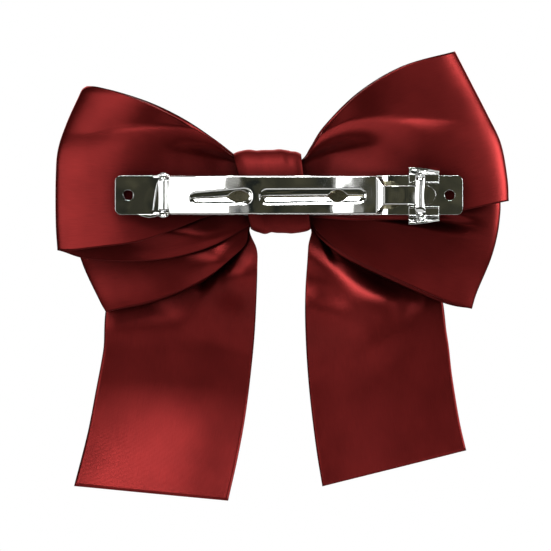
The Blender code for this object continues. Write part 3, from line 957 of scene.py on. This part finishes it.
def make_cross_bar(finish):
    """The bar across the tongue's end, its ends turned down as catches; the lower is curled."""
    middle = arm_y(30.0) + 0.1
    path = [
        (30.2, middle + 2.1, 4.2), (30.25, middle + 1.2, 4.28), (30.25, middle + 0.45, 4.1),
        (30.2, middle, 3.5), (30.15, middle - 0.05, 2.0), (30.1, middle - 0.05, 0.0),
        (30.1, middle - 0.05, -2.0), (30.15, middle, -3.0), (30.3, middle + 0.45, -3.75),
        (30.3, middle + 1.2, -4.0), (30.3, middle + 2.1, -3.9),
    ]
    curve = Curve(path)
    steps = 60
    places = [curve.at(i / steps) for i in range(steps + 1)]
    radii = [1.02 + 0.12 * math.cos(2 * math.pi * i / steps) for i in range(steps + 1)]
    radii[0] = radii[-1] = 0.5
    return tube("arm_bar", places, radii, finish, 32, 0.5)


# ---------------------------------------------------------------- the knot

# Middle and half size in y and z, and the flat width of the folded band
KNOT_MIDDLE = (9.4, 0.9)
KNOT_HALF = (5.9, 9.35)
KNOT_THICK = 0.5
KNOT_GRID = (160, 60)

# Creases: place across the band, width and height
CREASES = ((-0.62, 0.14, 0.32), (-0.2, 0.12, -0.26), (0.3, 0.14, 0.26), (0.72, 0.1, -0.2))


def knot_ring(angle):
    """The band's path round the gathered ribbons: y and z for an angle from the top."""
    depth = math.sin(angle)
    height = math.cos(angle)
    return (
        KNOT_MIDDLE[0] + KNOT_HALF[0] * math.copysign(abs(depth) ** 0.5, depth),
        KNOT_MIDDLE[1] + KNOT_HALF[1] * math.copysign(abs(height) ** 0.5, height),
    )


def make_knot(finish):
    """The band of the same ribbon, folded narrow and wrapped round the middle, with creases.
    Gives the piece and its length round the knot."""
    around, across = KNOT_GRID
    lines = []
    for i in range(around + 1):
        angle = 2 * math.pi * i / around
        y, z = knot_ring(angle)
        line = []
        for j in range(across + 1):
            u = 2 * j / across - 1
            lift = 0.0
            for place, width, height in CREASES:
                off = u - place - 0.12 * math.sin(angle * 2 + place * 9)
                strength = 0.6 + 0.4 * math.sin(angle + place)
                lift += height * math.exp(-((off / width) ** 2)) * strength
            lift -= 0.9 * abs(u) ** 6
            out = Vector((0, y - KNOT_MIDDLE[0], z - KNOT_MIDDLE[1])).normalized()
            x = -3.3 - 0.17 * z + u * (7.2 + 0.05 * z)
            line.append(Vector((x, y, z)) + out * lift)
        lines.append(line)
    run = lengths_along([line[across // 2] for line in lines])
    work = bmesh.new()
    layer = work.loops.layers.uv.new("ribbon")
    grid = [[work.verts.new(point * MM) for point in line] for line in lines[:-1]]
    for i in range(around):
        for j in range(across):
            n = (i + 1) % around
            face = work.faces.new((grid[i][j], grid[i][j + 1], grid[n][j + 1], grid[n][j]))
            face.smooth = True
            corners = ((i, j), (i, j + 1), (i + 1, j + 1), (i + 1, j))
            for corner, (row, column) in zip(face.loops, corners):
                corner[layer].uv = (run[row], 6 + 26 * column / across)
    mesh = bpy.data.meshes.new("knot_band_satin")
    work.to_mesh(mesh)
    work.free()
    made = link("knot_band_satin", mesh, finish)
    thicken(made, KNOT_THICK, 0.0)
    return made, run[-1]


# ---------------------------------------------------------------- the plate's bent edges

# Outlines in x and z
EAR_ROOT_LOWER = (
    (-34.9, -4.4), (-33.6, -4.95), (-32.2, -5.25), (-31.0, -5.05), (-30.2, -4.75),
    (-29.2, -5.2), (-28.2, -5.15), (-27.5, -4.4),
)
EAR_ROOT_UPPER = ((-27.3, 4.2), (-27.6, 4.75), (-28.6, 4.95), (-29.8, 4.8), (-30.8, 4.4))
LANCED_EDGE = (
    (-31.35, -3.5), (-31.05, -3.5), (-30.75, -1.2), (-30.3, 1.2), (-29.95, 2.9),
    (-30.3, 3.0), (-30.7, 1.3), (-31.1, -1.2),
)


def slab(name, outline, depths, finish, soften):
    """A flat piece: an outline in x and z between two depths, its edges rounded."""
    work = bmesh.new()
    near = [work.verts.new(Vector((x, depths[0], z)) * MM) for x, z in outline]
    far = [work.verts.new(Vector((x, depths[1], z)) * MM) for x, z in outline]
    work.faces.new(near)
    work.faces.new(far[::-1])
    for k in range(len(outline)):
        n = (k + 1) % len(outline)
        work.faces.new((near[n], near[k], far[k], far[n]))
    bmesh.ops.recalc_face_normals(work, faces=work.faces)
    mesh = bpy.data.meshes.new(name)
    work.to_mesh(mesh)
    work.free()
    mesh.shade_smooth()
    made = link(name, mesh, finish)
    bevel = made.modifiers.new("edges", "BEVEL")
    bevel.width = soften * MM
    bevel.segments = 3
    bevel.limit_method = "ANGLE"
    bevel.harden_normals = True
    return made


def make_plate_details(finish):
    """The bent roots of the hinge ears and the lanced edge that the barrel turns against."""
    return [
        slab("hinge_root_lower", EAR_ROOT_LOWER, (0.7, 1.7), finish, 0.12),
        slab("hinge_root_upper", EAR_ROOT_UPPER, (0.7, 1.7), finish, 0.12),
        slab("lanced_edge", LANCED_EDGE, (0.75, 1.75), finish, 0.08),
    ]


# ---------------------------------------------------------------- all together


def finish_node(name, finish):
    """Gives a carried-over solid its surface."""
    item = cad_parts[name]
    item.data.materials.clear()
    item.data.materials.append(finish)


def main():
    studio()
    red = satin("red_satin", RED_DARK, RED_LIGHT, SATIN_GLOSS)
    knot_red = satin("knot_satin", RED_DARK, RED_LIGHT, KNOT_GLOSS)
    chrome = metal("chrome", CHROME, (0.03, 0.07), 0.03, 0.12)
    steel = metal("spring_steel", SPRING, (0.16, 0.28), 0.1, 0.06)

    for name, loop in LOOPS.items():
        made, length = ribbon(name + "_satin", loop_place(loop), LOOP_GRID, red)
        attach(made, "bow")
        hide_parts(name)
    for name, tail in TAILS.items():
        made, length = ribbon(name + "_satin", tail_place(tail), TAIL_GRID, red)
        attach(made, "bow")
        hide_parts(name)

    for name in ("base_plate", "hinge_pin", "latch_bracket", "latch_lever_upper", "latch_lever_lower"):
        finish_node(name, chrome)
    finish_node("tension_spring", steel)
    for piece in make_arm(chrome):
        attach(piece, "clasp_arm")
        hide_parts("clasp_arm")
    for piece in make_plate_details(chrome):
        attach(piece, "bow")
    band, length = make_knot(knot_red)
    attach(band, "bow")
    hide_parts("knot_band")
    finish_node("gathering_thread", red)


main()
